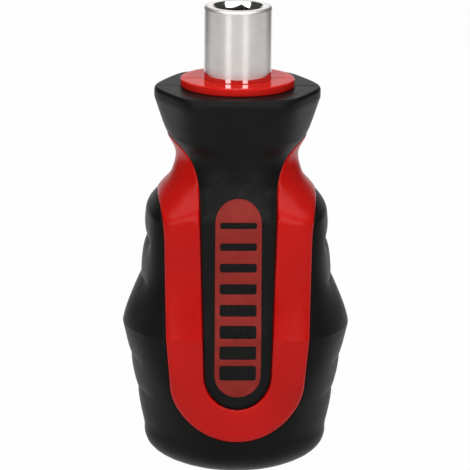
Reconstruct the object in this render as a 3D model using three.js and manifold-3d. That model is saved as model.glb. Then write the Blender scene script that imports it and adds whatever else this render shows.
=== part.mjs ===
import * as THREE from 'three';
import { mergeVertices } from 'three/addons/utils/BufferGeometryUtils.js';
import Module from 'manifold-3d';

const wasm = await Module();
wasm.setup();

// Millimetres. The handle stands on its base at z = 0 with its axis on +Z, and its front faces -Y.

// Bit holder
const SOCKET_ACROSS_FLATS = 6.4;
const SOCKET_DEPTH = 12;
const SOCKET_LEAD_IN = 0.45;
const SOCKET_TURN_DEG = -10;
const SLEEVE_DIAMETER = 11;
const SLEEVE_RIM_CHAMFER = 0.4;
const SLEEVE_FOOT_CHAMFER = 0.25;
const SLEEVE_STICKOUT = 11.75;
const TAIL_LENGTH = 10;
const TAIL_WALL = 1;
const RING_WIRE = 0.7;
const RING_BITE = 0.25;
const RING_BELOW_RIM = 3.2;
const RING_OPENING_DEG = 50;
const RING_PLAY = 0.15;
const MAGNET_SLIP = 0.15;
const MAGNET_HEIGHT = 3;
const SHANK_SLIP = 0.05;
const SHANK_BELOW_TAIL = 28;
const WING_SPAN = 9.6;
const WING_HEIGHT = 6;
const WING_THICKNESS = 2.2;
const WING_ABOVE_END = 4;

// Collar at the top of the handle
const COLLAR_DIAMETER = 18.54;
const COLLAR_THICKNESS = 1.3;
const COLLAR_LIP = 1.22;
const BOSS_DIAMETER = 11.4;
const BOSS_HEIGHT = 0.15;

// Stations of the handle from the base to the guard: rise above the station below, full width and full depth
const FLAT_SHARE = 0.56;
const DOME_FULLNESS = 2.5;
const BASE_RISE = 6.2;
const BASE_WIDTH = 29.7;
const BASE_DEPTH = 25.6;
const CHEEK_RISE = 15.3;
const CHEEK_WIDTH = 35.9;
const CHEEK_DEPTH = 28.4;
const RIDGE_RISE = 2.2;
const RIDGE_WIDTH = 36.85;
const RIDGE_DEPTH = 29;
const FLANK_RISE = 9.1;
const FLANK_WIDTH = 31.2;
const FLANK_DEPTH = 26.2;
const SHOULDER_RISE = 9.6;
const SHOULDER_WIDTH = 29.5;
const SHOULDER_DEPTH = 25.2;
const THROAT_RISE = 3.8;
const THROAT_WIDTH = 24.7;
const THROAT_DEPTH = 22.4;
const NAPE_RISE = 2.4;
const NAPE_WIDTH = 21.2;
const NAPE_DEPTH = 20.4;
const NECK_RISE = 3.1;
const NECK_WIDTH = 19.9;
const NECK_DEPTH = 19.4;
const FLARE_RISE = 3.5;
const FLARE_WIDTH = 22.9;
const FLARE_DEPTH = 21.4;
const GUARD_RISE = 5.9;
const GUARD_WIDTH = 27;
const GUARD_DEPTH = 25;
const GUARD_RIM_HEIGHT = 1.7;
const GUARD_RIM_ROUND = 0.75;
const FRONT_FLAT_WIDTH = 21.6;
const BASE_FLAT_SHARE = 0.42;
const THROAT_FLAT_SHARE = 0.64;
const NAPE_FLAT_SHARE = 0.56;
const NECK_FLAT_SHARE = 0.52;
const GUARD_FLAT_SHARE = 0.59;
const BASE_CORNER = 5;
const BODY_CORNER = 8;
const THROAT_CORNER = 5;
const NECK_CORNER = 4;
const FLARE_CORNER = 6;
const GUARD_CORNER = 9;
const BODY_SIDE = 4;
const FLARE_SIDE = 6;
const GUARD_SIDE = 10;
const CREASE_STEEPNESS = 1.2;

// Scallops at the two sides of the palm grip
const NOTCH_SPREAD = 1.2;
const NOTCH_DEPTHS_ABOVE = [0.4, 0.9];
const NOTCH_DEPTHS_BELOW = [0.3, 0.3, 0.1];
const NOTCH_ABOVE_RIDGE = 7.9;
const NOTCH_BELOW_RIDGE = 5.4;
const NOTCH_PITCH_ABOVE = 6.3;
const NOTCH_PITCH_BELOW = 5.7;
const NOTCH_FULL_DEG = 22;
const NOTCH_FADE_DEG = 42;

// Soft shots, their seams and the bands between them
const GRIP_THICKNESS = 2.2;
const BASE_THICKNESS = 3.6;
const SEAM_GAP = 0.3;
const BAND_PROUD = 0.25;
const BAND_HALF_WIDTH = 12;
const BAND_RIDGE_HALF_WIDTH = 11.7;
const BAND_END_HALF_WIDTH = 11.05;
const BAND_END_HEIGHT = 10;
const BAND_ABOVE_BASE = 0.1;
const BAND_FLARE_LENGTH = 8.4;
const BAND_FLARE_BELOW_THROAT = 0.3;
const BAND_FOOT = 5.6;
const TONGUE_HALF_WIDTH = 6.35;
const TONGUE_END_HALF_WIDTH = 5.5;
const TONGUE_END_HEIGHT = 6;
const TONGUE_FLARE_LENGTH = 8.7;
const TONGUE_FLARE_ABOVE_NECK = 3.5;

// Badge inlays
const BADGE_HALF_WIDTH = 3.75;
const BADGE_LENGTH = 32.4;
const BADGE_ABOVE_TONGUE_END = 2.2;
const BADGE_THICKNESS = 0.8;
const BADGE_BORDER = 0.8;
const BADGE_END_MARGIN = 2.4;
const SLOT_COUNT = 8;
const SLOT_TOP_HEIGHT = 1;
const SLOT_BOTTOM_HEIGHT = 2.5;

// First shot round the steel
const CORE_HEAD_WALL = 1.8;
const CORE_COVER = 3;
const CORE_FLOOR_COVER = 4.4;
const RED_NECK_WALL = 1.5;
const RED_BODY_WALL = 1.9;
const ANCHOR_COUNT = 3;
const ANCHOR_WIDTH = 2.4;
const ANCHOR_DEPTH = 1;
const MOULD_GAP = 0.1;

// Mesh fineness
const ROUND_SEGMENTS = 32;
const HANDLE_SEGMENTS = 40;
const CORE_SEGMENTS = 20;
const SKIN_SPACING = 4.5;
const CORE_SPACING = 8;
const CURVE_SEGMENTS = 8;
const RING_STEPS = 24;
const RING_SIDES = 8;

// Heights and radii that follow from the sizes above
const cheekZ = BASE_RISE + CHEEK_RISE;
const ridgeZ = cheekZ + RIDGE_RISE;
const flankZ = ridgeZ + FLANK_RISE;
const shoulderZ = flankZ + SHOULDER_RISE;
const throatZ = shoulderZ + THROAT_RISE;
const napeZ = throatZ + NAPE_RISE;
const neckZ = napeZ + NECK_RISE;
const flareZ = neckZ + FLARE_RISE;
const guardZ = flareZ + GUARD_RISE;
const guardTopZ = guardZ + GUARD_RIM_HEIGHT;
const collarTopZ = guardTopZ + COLLAR_THICKNESS;
const bossTopZ = collarTopZ + BOSS_HEIGHT;
const rimZ = bossTopZ + SLEEVE_STICKOUT;
const tailZ = bossTopZ - TAIL_LENGTH;
const magnetTopZ = rimZ - SOCKET_DEPTH;
const shankTopZ = magnetTopZ - MAGNET_HEIGHT;
const shankEndZ = tailZ - SHANK_BELOW_TAIL;
const coreTopZ = guardTopZ - CORE_COVER;
const coreBottomZ = BASE_THICKNESS + CORE_FLOOR_COVER;
const bandBottomZ = BASE_RISE + BAND_ABOVE_BASE;
const bandFlareTopZ = throatZ - BAND_FLARE_BELOW_THROAT;
const bandFlareStartZ = bandFlareTopZ - BAND_FLARE_LENGTH;
const tongueBottomZ = bandBottomZ + BAND_FOOT;
const tongueFlareTopZ = neckZ + TONGUE_FLARE_ABOVE_NECK;
const tongueFlareStartZ = tongueFlareTopZ - TONGUE_FLARE_LENGTH;
const badgeBottomZ = tongueBottomZ + BADGE_ABOVE_TONGUE_END;
const badgeTopZ = badgeBottomZ + BADGE_LENGTH;
const socketCorner = SOCKET_ACROSS_FLATS / Math.sqrt(3);
const tailRadius = socketCorner + TAIL_WALL;
const coreHeadRadius = tailRadius + CORE_HEAD_WALL;
const coreNeckRadius = NECK_DEPTH / 2 - GRIP_THICKNESS - RED_NECK_WALL;
const coreBodyRadius = SHOULDER_DEPTH / 2 - GRIP_THICKNESS - RED_BODY_WALL;

const rad = THREE.MathUtils.degToRad;
const FAR = 60;

function solid(geometry) {
  geometry.deleteAttribute('normal');
  geometry.deleteAttribute('uv');
  const merged = mergeVertices(geometry, 1e-4);
  return new wasm.Manifold(new wasm.Mesh({
    numProp: 3,
    vertProperties: new Float32Array(merged.attributes.position.array),
    triVerts: new Uint32Array(merged.index.array),
  }));
}

function meshOf(name, body, material) {
  const data = body.getMesh();
  const geometry = new THREE.BufferGeometry();
  geometry.setAttribute('position', new THREE.BufferAttribute(new Float32Array(data.vertProperties), 3));
  geometry.setIndex(new THREE.BufferAttribute(new Uint32Array(data.triVerts), 1));
  geometry.computeVertexNormals();
  const mesh = new THREE.Mesh(geometry, material);
  mesh.name = name;
  return mesh;
}

// Solid of revolution about +Z from [radius, height] pairs that start and end on the axis
function turned(profile, segments = ROUND_SEGMENTS) {
  const points = profile.map(([radius, height]) => new THREE.Vector2(radius, height));
  const geometry = new THREE.LatheGeometry(points, segments);
  geometry.rotateX(Math.PI / 2);
  return solid(geometry);
}

function rod(radius, fromZ, toZ, segments = ROUND_SEGMENTS) {
  return turned([[0, fromZ], [radius, fromZ], [radius, toZ], [0, toZ]], segments);
}

// Upright hex bar with corners near the front and the back
function hexBar(acrossFlats, fromZ, toZ) {
  const corner = acrossFlats / Math.sqrt(3);
  const geometry = new THREE.CylinderGeometry(corner, corner, toZ - fromZ, 6);
  geometry.rotateX(Math.PI / 2);
  geometry.rotateZ(rad(SOCKET_TURN_DEG));
  geometry.translate(0, 0, (fromZ + toZ) / 2);
  return solid(geometry);
}

function block(width, depth, fromZ, toZ) {
  const geometry = new THREE.BoxGeometry(width, depth, toZ - fromZ);
  geometry.translate(0, 0, (fromZ + toZ) / 2);
  return solid(geometry);
}

// Outline drawn in x and z, carried along y through the whole handle
function throughDepth(shape) {
  const options = { depth: 2 * FAR, bevelEnabled: false, curveSegments: CURVE_SEGMENTS };
  const geometry = new THREE.ExtrudeGeometry(shape, options);
  geometry.rotateX(Math.PI / 2);
  geometry.translate(0, FAR, 0);
  return solid(geometry);
}

// Smooth monotone curve through stations sorted by z, which may bend sharply at one crease
function smoothThrough(stations, key, creaseZ = null) {
  const count = stations.length;
  const slopes = [];
  for (let i = 0; i < count - 1; i += 1) {
    slopes.push((stations[i + 1][key] - stations[i][key]) / (stations[i + 1].z - stations[i].z));
  }
  const tangents = stations.map((station, i) => {
    if (i === 0) {
      return slopes[0];
    }
    if (i === count - 1) {
      return slopes[i - 1];
    }
    if (slopes[i - 1] * slopes[i] <= 0) {
      return 0;
    }
    return 2 * slopes[i - 1] * slopes[i] / (slopes[i - 1] + slopes[i]);
  });
  const isCrease = (i) => stations[i].z === creaseZ;
  return (z) => {
    const inside = Math.min(Math.max(z, stations[0].z), stations[count - 1].z);
    let i = 0;
    while (i < count - 2 && inside > stations[i + 1].z) {
      i += 1;
    }
    const span = stations[i + 1].z - stations[i].z;
    const t = (inside - stations[i].z) / span;
    const start = stations[i][key] * (1 + 2 * t) * (1 - t) ** 2;
    const end = stations[i + 1][key] * t * t * (3 - 2 * t);
    const leaving = isCrease(i) ? CREASE_STEEPNESS * slopes[i] : tangents[i];
    const arriving = isCrease(i + 1) ? CREASE_STEEPNESS * slopes[i] : tangents[i + 1];
    return start + end + span * (leaving * t * (1 - t) ** 2 + arriving * t * t * (t - 1));
  };
}

function station(z, width, depth, flatShare, corner, side) {
  return { z, width, depth, flatShare, corner, side };
}

const flatShareOf = (width) => FRONT_FLAT_WIDTH / width;
const STATIONS = [
  station(BASE_RISE, BASE_WIDTH, BASE_DEPTH, BASE_FLAT_SHARE, BASE_CORNER, BODY_SIDE),
  station(cheekZ, CHEEK_WIDTH, CHEEK_DEPTH, flatShareOf(CHEEK_WIDTH), BODY_CORNER, BODY_SIDE),
  station(ridgeZ, RIDGE_WIDTH, RIDGE_DEPTH, flatShareOf(RIDGE_WIDTH), BODY_CORNER, BODY_SIDE),
  station(flankZ, FLANK_WIDTH, FLANK_DEPTH, flatShareOf(FLANK_WIDTH), BODY_CORNER, BODY_SIDE),
  station(shoulderZ, SHOULDER_WIDTH, SHOULDER_DEPTH, flatShareOf(SHOULDER_WIDTH), BODY_CORNER, BODY_SIDE),
  station(throatZ, THROAT_WIDTH, THROAT_DEPTH, THROAT_FLAT_SHARE, THROAT_CORNER, BODY_SIDE),
  station(napeZ, NAPE_WIDTH, NAPE_DEPTH, NAPE_FLAT_SHARE, NECK_CORNER, BODY_SIDE),
  station(neckZ, NECK_WIDTH, NECK_DEPTH, NECK_FLAT_SHARE, NECK_CORNER, BODY_SIDE),
  station(flareZ, FLARE_WIDTH, FLARE_DEPTH, GUARD_FLAT_SHARE, FLARE_CORNER, FLARE_SIDE),
  station(guardZ, GUARD_WIDTH, GUARD_DEPTH, GUARD_FLAT_SHARE, GUARD_CORNER, GUARD_SIDE),
];
const widthAt = smoothThrough(STATIONS, 'width');
const depthAt = smoothThrough(STATIONS, 'depth', ridgeZ);
const flatShareAt = smoothThrough(STATIONS, 'flatShare');
const cornerAt = smoothThrough(STATIONS, 'corner');
const sideAt = smoothThrough(STATIONS, 'side');

// The base closes like a full oval that is cut off at the flat.
const domeHeight = BASE_RISE / (1 - FLAT_SHARE ** DOME_FULLNESS) ** (1 / DOME_FULLNESS);

function domeShare(z) {
  const below = Math.max(0, BASE_RISE - z) / domeHeight;
  return (1 - below ** DOME_FULLNESS) ** (1 / DOME_FULLNESS);
}

// The guard's rim rounds inward below its top.
function rimRound(z) {
  const into = Math.max(0, z - (guardTopZ - GUARD_RIM_ROUND)) / GUARD_RIM_ROUND;
  return GUARD_RIM_ROUND * (1 - Math.sqrt(Math.max(0, 1 - into * into)));
}

const notches = [
  ...NOTCH_DEPTHS_ABOVE.map((depth, i) => ({
    depth,
    z: ridgeZ + NOTCH_ABOVE_RIDGE + NOTCH_PITCH_ABOVE * i,
  })),
  ...NOTCH_DEPTHS_BELOW.map((depth, i) => ({
    depth,
    z: ridgeZ - NOTCH_BELOW_RIDGE - NOTCH_PITCH_BELOW * i,
  })),
];

function notchAt(z) {
  const cuts = notches.map((notch) => notch.depth * Math.exp(-Math.abs(z - notch.z) / NOTCH_SPREAD));
  return cuts.reduce((sum, cut) => sum + cut, 0);
}

function notchShare(angle) {
  const fromSide = Math.asin(Math.abs(Math.sin(angle)));
  return 1 - THREE.MathUtils.smoothstep(fromSide, rad(NOTCH_FULL_DEG), rad(NOTCH_FADE_DEG));
}

// Point of a rounded hexagon with a corner at each side and a flat at the front and the back.
// The flat share is the width of the front flat in the whole width. Higher powers give sharper edges:
// corner for the four beside the flats, side for the one at each side.
function hexagonPoint(angle, halfWidth, halfDepth, flatShare, corner, side) {
  const slant = 1 - flatShare;
  const reach = (u, v) => {
    const slopes = Math.abs(u + slant * v) ** side + Math.abs(u - slant * v) ** side;
    return (Math.abs(v) ** corner + slopes ** (corner / side)) ** (1 / corner);
  };
  const radius = 1 / reach(Math.cos(angle), Math.sin(angle));
  return [
    halfWidth * radius * Math.cos(angle) * reach(1, 0),
    halfDepth * radius * Math.sin(angle) * reach(0, 1),
  ];
}

// Point of the handle's surface, moved outward by a distance, with or without the scallops
function surfacePoint(angle, z, outward, scalloped) {
  const notch = scalloped ? notchAt(z) * notchShare(angle) : 0;
  const halfWidth = widthAt(z) / 2 * domeShare(z) - rimRound(z) - notch + outward;
  const halfDepth = depthAt(z) / 2 * domeShare(z) - rimRound(z) + outward;
  return [...hexagonPoint(angle, halfWidth, halfDepth, flatShareAt(z), cornerAt(z), sideAt(z)), z];
}

// Closed loft through the handle's sections at the given heights
function loft(heights, outward, scalloped, segments) {
  const positions = [];
  heights.forEach((z) => {
    for (let i = 0; i < segments; i += 1) {
      positions.push(...surfacePoint(2 * Math.PI * i / segments, z, outward, scalloped));
    }
  });
  const bottom = positions.length / 3;
  positions.push(0, 0, heights[0], 0, 0, heights[heights.length - 1]);
  const top = bottom + 1;
  const index = [];
  const last = (heights.length - 1) * segments;
  for (let i = 0; i < segments; i += 1) {
    const next = (i + 1) % segments;
    index.push(bottom, next, i, top, last + i, last + next);
    for (let row = 0; row < last; row += segments) {
      const above = row + segments;
      index.push(row + i, row + next, above + next, row + i, above + next, above + i);
    }
  }
  const geometry = new THREE.BufferGeometry();
  geometry.setAttribute('position', new THREE.Float32BufferAttribute(positions, 3));
  geometry.setIndex(index);
  return solid(geometry);
}

function evenHeights(fromZ, toZ, count) {
  return Array.from({ length: count + 1 }, (unused, i) => fromZ + (toZ - fromZ) * i / count);
}

// Heights of the stations and of even steps between them
function bodyHeights(spacing) {
  const steps = STATIONS.slice(1).flatMap((upper, i) => {
    const lower = STATIONS[i];
    return evenHeights(lower.z, upper.z, Math.ceil((upper.z - lower.z) / spacing)).slice(1);
  });
  return [BASE_RISE, ...steps];
}

// Heights of the outer skin: close together in the dome, at each notch and at the guard's rim
function skinHeights() {
  const dome = [0, 0.08, 0.3, 0.62].map((share) => BASE_RISE * share);
  const around = notches.flatMap(({ z }) => [z - NOTCH_SPREAD / 2, z, z + NOTCH_SPREAD / 2]);
  const isClear = (z) => around.every((height) => Math.abs(z - height) > NOTCH_SPREAD / 3);
  const clear = bodyHeights(SKIN_SPACING).filter(isClear);
  const rim = [0, 0.4, 0.75, 1].map((share) => guardTopZ - GUARD_RIM_ROUND * (1 - share));
  return [...dome, ...clear, ...around, ...rim].sort((a, b) => a - b);
}

// Outline of the guard and its tongue, drawn in from the seam by a distance
function tongueOutline(inset) {
  const end = TONGUE_END_HALF_WIDTH - inset;
  const side = TONGUE_HALF_WIDTH - inset;
  const endZ = tongueBottomZ + TONGUE_END_HEIGHT;
  const topZ = tongueFlareTopZ + inset;
  const bendZ = topZ - TONGUE_FLARE_LENGTH / 3;
  const edge = widthAt(tongueFlareTopZ) / 2;
  const farZ = topZ + (FAR - edge) * (topZ - bendZ) / (edge - side);
  const shape = new THREE.Shape();
  shape.absellipse(0, endZ, end, TONGUE_END_HEIGHT - inset, Math.PI, 2 * Math.PI, false, 0);
  shape.lineTo(side, tongueFlareStartZ);
  shape.quadraticCurveTo(side, bendZ, edge, topZ);
  shape.lineTo(FAR, farZ);
  shape.lineTo(FAR, farZ + FAR);
  shape.lineTo(-FAR, farZ + FAR);
  shape.lineTo(-FAR, farZ);
  shape.lineTo(-edge, topZ);
  shape.quadraticCurveTo(-side, bendZ, -side, tongueFlareStartZ);
  shape.closePath();
  return shape;
}

// Outline of all that lies within the palm grip, moved out from the seam by a distance
function bandOutline(outset) {
  const end = BAND_END_HALF_WIDTH + outset;
  const middle = BAND_RIDGE_HALF_WIDTH + outset;
  const side = BAND_HALF_WIDTH + outset;
  const endZ = bandBottomZ + BAND_END_HEIGHT;
  const topZ = bandFlareTopZ - outset;
  const bendZ = topZ - BAND_FLARE_LENGTH / 8;
  const edge = widthAt(topZ) / 2 + 1;
  const shape = new THREE.Shape();
  shape.absellipse(0, endZ, end, BAND_END_HEIGHT + outset, Math.PI, 2 * Math.PI, false, 0);
  shape.lineTo(middle, ridgeZ);
  shape.lineTo(side, bandFlareStartZ);
  shape.quadraticCurveTo(side, bendZ, edge, topZ);
  shape.lineTo(FAR, topZ);
  shape.lineTo(FAR, topZ + FAR);
  shape.lineTo(-FAR, topZ + FAR);
  shape.lineTo(-FAR, topZ);
  shape.lineTo(-edge, topZ);
  shape.quadraticCurveTo(-side, bendZ, -side, bandFlareStartZ);
  shape.lineTo(-middle, ridgeZ);
  shape.closePath();
  return shape;
}

function badgeOutline(outset) {
  const radius = BADGE_HALF_WIDTH + outset;
  const shape = new THREE.Shape();
  shape.absarc(0, badgeBottomZ + BADGE_HALF_WIDTH, radius, Math.PI, 2 * Math.PI, false);
  shape.absarc(0, badgeTopZ - BADGE_HALF_WIDTH, radius, 0, Math.PI, false);
  shape.closePath();
  return shape;
}

// Cross slots of a badge, which grow taller towards its bottom
function badgeSlots(inset) {
  const pitch = (BADGE_LENGTH - 2 * BADGE_END_MARGIN) / SLOT_COUNT;
  const halfWidth = BADGE_HALF_WIDTH - BADGE_BORDER - inset;
  let slots = null;
  for (let i = 0; i < SLOT_COUNT; i += 1) {
    const share = i / (SLOT_COUNT - 1);
    const height = THREE.MathUtils.lerp(SLOT_TOP_HEIGHT, SLOT_BOTTOM_HEIGHT, share) - 2 * inset;
    const middle = badgeTopZ - BADGE_END_MARGIN - pitch * (i + 0.5);
    const slot = block(2 * halfWidth, 2 * FAR, middle - height / 2, middle + height / 2);
    slots = slots ? slots.add(slot) : slot;
  }
  return slots;
}

// Hard block under the soft shots, grown by a distance
function underBlock(outward) {
  const bottomZ = BASE_THICKNESS - outward;
  const topZ = guardTopZ - GRIP_THICKNESS + outward;
  const lower = evenHeights(bottomZ, BASE_RISE, 2);
  const upper = bodyHeights(CORE_SPACING).slice(1).filter((z) => z < topZ);
  return loft([...lower, ...upper, topZ], outward - GRIP_THICKNESS, false, CORE_SEGMENTS);
}

// Red neck between the hard block and the collar
function spigot(outward) {
  return rod(COLLAR_DIAMETER / 2 - COLLAR_LIP + outward, coreTopZ, collarTopZ);
}

// First shot: a turned body with anchor grooves, grown by a distance
function coreBody(outward) {
  const body = coreBodyRadius + outward;
  const neck = coreNeckRadius + outward;
  const head = coreHeadRadius + outward;
  const groove = body - ANCHOR_DEPTH;
  const half = ANCHOR_WIDTH / 2 - outward;
  const bottomZ = coreBottomZ - outward;
  const topZ = coreTopZ + outward;
  const shelfZ = throatZ - CORE_COVER;
  const pitch = (shelfZ - coreBottomZ) / ANCHOR_COUNT;
  const profile = [[0, bottomZ], [body, bottomZ]];
  for (let i = 0; i < ANCHOR_COUNT; i += 1) {
    const middle = coreBottomZ + pitch * (i + 0.5);
    profile.push([body, middle - half], [groove, middle - half]);
    profile.push([groove, middle + half], [body, middle + half]);
  }
  profile.push([body, shelfZ + outward], [neck, napeZ], [neck, neckZ], [head, tailZ + CORE_HEAD_WALL]);
  profile.push([head, topZ], [0, topZ]);
  return turned(profile, CORE_SEGMENTS);
}

function tailBody(outward) {
  return rod(tailRadius + outward, tailZ - outward, bossTopZ + MOULD_GAP);
}

function shankBody(outward) {
  const bar = hexBar(SOCKET_ACROSS_FLATS - 2 * SHANK_SLIP + 2 * outward, shankEndZ - outward, shankTopZ);
  const wingZ = shankEndZ + WING_ABOVE_END;
  const wings = block(
    WING_SPAN + 2 * outward,
    WING_THICKNESS + 2 * outward,
    wingZ - outward,
    wingZ + WING_HEIGHT + outward,
  );
  return bar.add(wings);
}

// Bit holder
const ringInner = socketCorner - RING_BITE;
const ringMiddle = ringInner + RING_WIRE / 2;
const ringZ = rimZ - RING_BELOW_RIM;
const grooveRadius = ringInner + RING_WIRE + RING_PLAY;
const grooveHalf = RING_WIRE / 2 + RING_PLAY;
const leadRadius = socketCorner + SOCKET_LEAD_IN;
const shoulderSeatZ = bossTopZ + MOULD_GAP;
const outside = turned([
  [0, shoulderSeatZ],
  [SLEEVE_DIAMETER / 2 - SLEEVE_FOOT_CHAMFER, shoulderSeatZ],
  [SLEEVE_DIAMETER / 2, shoulderSeatZ + SLEEVE_FOOT_CHAMFER],
  [SLEEVE_DIAMETER / 2, rimZ - SLEEVE_RIM_CHAMFER],
  [SLEEVE_DIAMETER / 2 - SLEEVE_RIM_CHAMFER, rimZ],
  [0, rimZ],
]);
const leadIn = turned([
  [0, rimZ - leadRadius],
  [leadRadius, rimZ],
  [leadRadius, rimZ + 1],
  [0, rimZ + 1],
]);
const sleeve = outside
  .add(tailBody(0))
  .subtract(hexBar(SOCKET_ACROSS_FLATS, tailZ - 1, rimZ + 1))
  .subtract(leadIn)
  .subtract(rod(grooveRadius, ringZ - grooveHalf, ringZ + grooveHalf));

// Spring ring: wire bent round most of a circle, with a flat cut at each end
class RingPath extends THREE.Curve {
  getPoint(share, target = new THREE.Vector3()) {
    const angle = rad(RING_OPENING_DEG / 2 + (360 - RING_OPENING_DEG) * share);
    return target.set(ringMiddle * Math.cos(angle), ringMiddle * Math.sin(angle), ringZ);
  }
}

function closedWire(path) {
  const tube = new THREE.TubeGeometry(path, RING_STEPS, RING_WIRE / 2, RING_SIDES, false);
  const positions = Array.from(tube.attributes.position.array);
  const index = Array.from(tube.index.array);
  const start = positions.length / 3;
  const end = RING_STEPS * (RING_SIDES + 1);
  positions.push(...path.getPoint(0).toArray(), ...path.getPoint(1).toArray());
  for (let i = 0; i < RING_SIDES; i += 1) {
    index.push(start, i, i + 1, start + 1, end + i + 1, end + i);
  }
  const geometry = new THREE.BufferGeometry();
  geometry.setAttribute('position', new THREE.Float32BufferAttribute(positions, 3));
  geometry.setIndex(index);
  return solid(geometry);
}
const ring = closedWire(new RingPath());

const magnet = rod(SOCKET_ACROSS_FLATS / 2 - MAGNET_SLIP, shankTopZ, magnetTopZ, CORE_SEGMENTS);
const shank = shankBody(0);

// First shot and the hard red shot
const innerCore = coreBody(0).subtract(tailBody(MOULD_GAP)).subtract(shankBody(MOULD_GAP));
const tongueZone = throughDepth(tongueOutline(0));
const bandZone = throughDepth(bandOutline(0));
const bandSkin = loft(bodyHeights(SKIN_SPACING), BAND_PROUD, false, HANDLE_SEGMENTS);
const redBody = bandSkin
  .intersect(bandZone)
  .subtract(tongueZone)
  .add(underBlock(0))
  .add(spigot(0))
  .add(rod(COLLAR_DIAMETER / 2, guardTopZ, collarTopZ))
  .add(rod(BOSS_DIAMETER / 2, collarTopZ, bossTopZ))
  .subtract(coreBody(MOULD_GAP))
  .subtract(tailBody(MOULD_GAP));

// Soft shots and badges
const skin = loft(skinHeights(), 0, true, HANDLE_SEGMENTS);
const pocket = underBlock(SEAM_GAP);
const badgeFloor = loft(bodyHeights(SKIN_SPACING), -BADGE_THICKNESS, false, HANDLE_SEGMENTS);
const pocketFloor = loft(bodyHeights(SKIN_SPACING), -BADGE_THICKNESS - SEAM_GAP, false, HANDLE_SEGMENTS);
const badges = skin
  .intersect(throughDepth(badgeOutline(0)))
  .subtract(badgeSlots(0))
  .subtract(badgeFloor);
const badgePockets = throughDepth(badgeOutline(SEAM_GAP))
  .subtract(badgeSlots(SEAM_GAP))
  .subtract(pocketFloor);
const frontHalf = block(2 * FAR, 2 * FAR, -FAR, 2 * FAR).translate([0, -FAR, 0]);
const frontBadge = badges.intersect(frontHalf);
const rearBadge = badges.subtract(frontHalf);
const guardGrip = skin
  .intersect(throughDepth(tongueOutline(SEAM_GAP)))
  .subtract(pocket)
  .subtract(spigot(SEAM_GAP))
  .subtract(badgePockets);
const palmGrip = skin
  .subtract(throughDepth(bandOutline(SEAM_GAP)))
  .subtract(pocket);

const steel = new THREE.MeshStandardMaterial({ color: 0xc9c6c3, metalness: 1, roughness: 0.3 });
const springSteel = new THREE.MeshStandardMaterial({ color: 0x8f9296, metalness: 1, roughness: 0.35 });
const nickel = new THREE.MeshStandardMaterial({ color: 0xb4b2ac, metalness: 1, roughness: 0.25 });
const redPlastic = new THREE.MeshStandardMaterial({ color: 0xbe221c, metalness: 0, roughness: 0.35 });
const blackRubber = new THREE.MeshStandardMaterial({ color: 0x202020, metalness: 0, roughness: 0.7 });
const corePlastic = new THREE.MeshStandardMaterial({ color: 0x3c3c40, metalness: 0, roughness: 0.5 });
const dullRed = new THREE.MeshStandardMaterial({ color: 0xa5322a, metalness: 0, roughness: 0.6 });

const part = new THREE.Group();
part.name = 'bit_holder_screwdriver';
part.add(meshOf('bit_holder_sleeve', sleeve, steel));
part.add(meshOf('bit_retaining_ring', ring, springSteel));
part.add(meshOf('socket_magnet', magnet, nickel));
part.add(meshOf('drive_shank', shank, steel));
part.add(meshOf('inner_core', innerCore, corePlastic));
part.add(meshOf('red_body', redBody, redPlastic));
part.add(meshOf('guard_grip', guardGrip, blackRubber));
part.add(meshOf('palm_grip', palmGrip, blackRubber));
part.add(meshOf('front_badge', frontBadge, dullRed));
part.add(meshOf('rear_badge', rearBadge, dullRed));

export default part;
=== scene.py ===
import math
from collections import namedtuple

import bmesh
import bpy
import numpy as np
from mathutils import Matrix, Vector
from mathutils.geometry import delaunay_2d_cdt


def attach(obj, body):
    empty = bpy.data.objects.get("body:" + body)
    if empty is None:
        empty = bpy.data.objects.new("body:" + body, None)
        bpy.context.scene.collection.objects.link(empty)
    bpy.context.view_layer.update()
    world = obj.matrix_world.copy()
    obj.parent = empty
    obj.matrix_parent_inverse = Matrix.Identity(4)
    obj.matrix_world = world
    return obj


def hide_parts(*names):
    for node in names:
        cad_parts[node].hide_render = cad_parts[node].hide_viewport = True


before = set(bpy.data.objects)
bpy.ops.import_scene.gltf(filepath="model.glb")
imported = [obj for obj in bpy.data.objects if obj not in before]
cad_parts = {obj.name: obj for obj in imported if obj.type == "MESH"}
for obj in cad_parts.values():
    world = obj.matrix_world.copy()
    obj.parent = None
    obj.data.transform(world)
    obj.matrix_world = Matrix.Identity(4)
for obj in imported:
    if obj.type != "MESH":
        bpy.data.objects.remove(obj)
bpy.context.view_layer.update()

# Sizes are in millimetres until a mesh is made.
MM = 0.001

# Bit holder
SOCKET_ACROSS_FLATS = 6.4
SOCKET_LEAD_IN = 0.45
SOCKET_TURN_DEG = -10
SLEEVE_RADIUS = 5.5
SLEEVE_CHAMFER = 0.3
SLEEVE_EDGE_ROUND = 0.25
SLEEVE_FOOT_ROUND = 0.06
EDGE_SUPPORT = 0.04
TAIL_RADIUS = 4.69
RIM_Z = 76.0
MAGNET_TOP_Z = 64.0
MAGNET_HEIGHT = 3.0
MAGNET_RADIUS = 3.05
MAGNET_CHAMFER = 0.15
MAGNET_DISH = 0.03
MAGNET_DISH_START = 0.02
MAGNET_DISH_SHARE = 0.6
TAIL_Z = 54.25
RING_WIRE_RADIUS = 0.35
RING_RADIUS = 3.795
RING_Z = 72.8
RING_OPENING_DEG = 50
RING_END_SHARE = 0.02
GROOVE_RADIUS = 4.295
GROOVE_HALF = 0.5

# Collar
COLLAR_RADIUS = 9.27
COLLAR_BOTTOM_Z = 62.8
COLLAR_TOP_Z = 64.1
COLLAR_ROUND = 0.22
BOSS_RADIUS = 5.55
BOSS_TOP_Z = 64.15
BOSS_ROUND = 0.02
BOSS_FOOT_ROUND = 0.02
SPIGOT_RADIUS = 8.0
SPIGOT_BOTTOM_Z = 61.2
COLLAR_BORE = 4.85
SPLIT_LINE_HALF = 0.09
SPLIT_LINE_DEPTH = 0.06
SPLIT_LINE_START = 5.2

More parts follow.
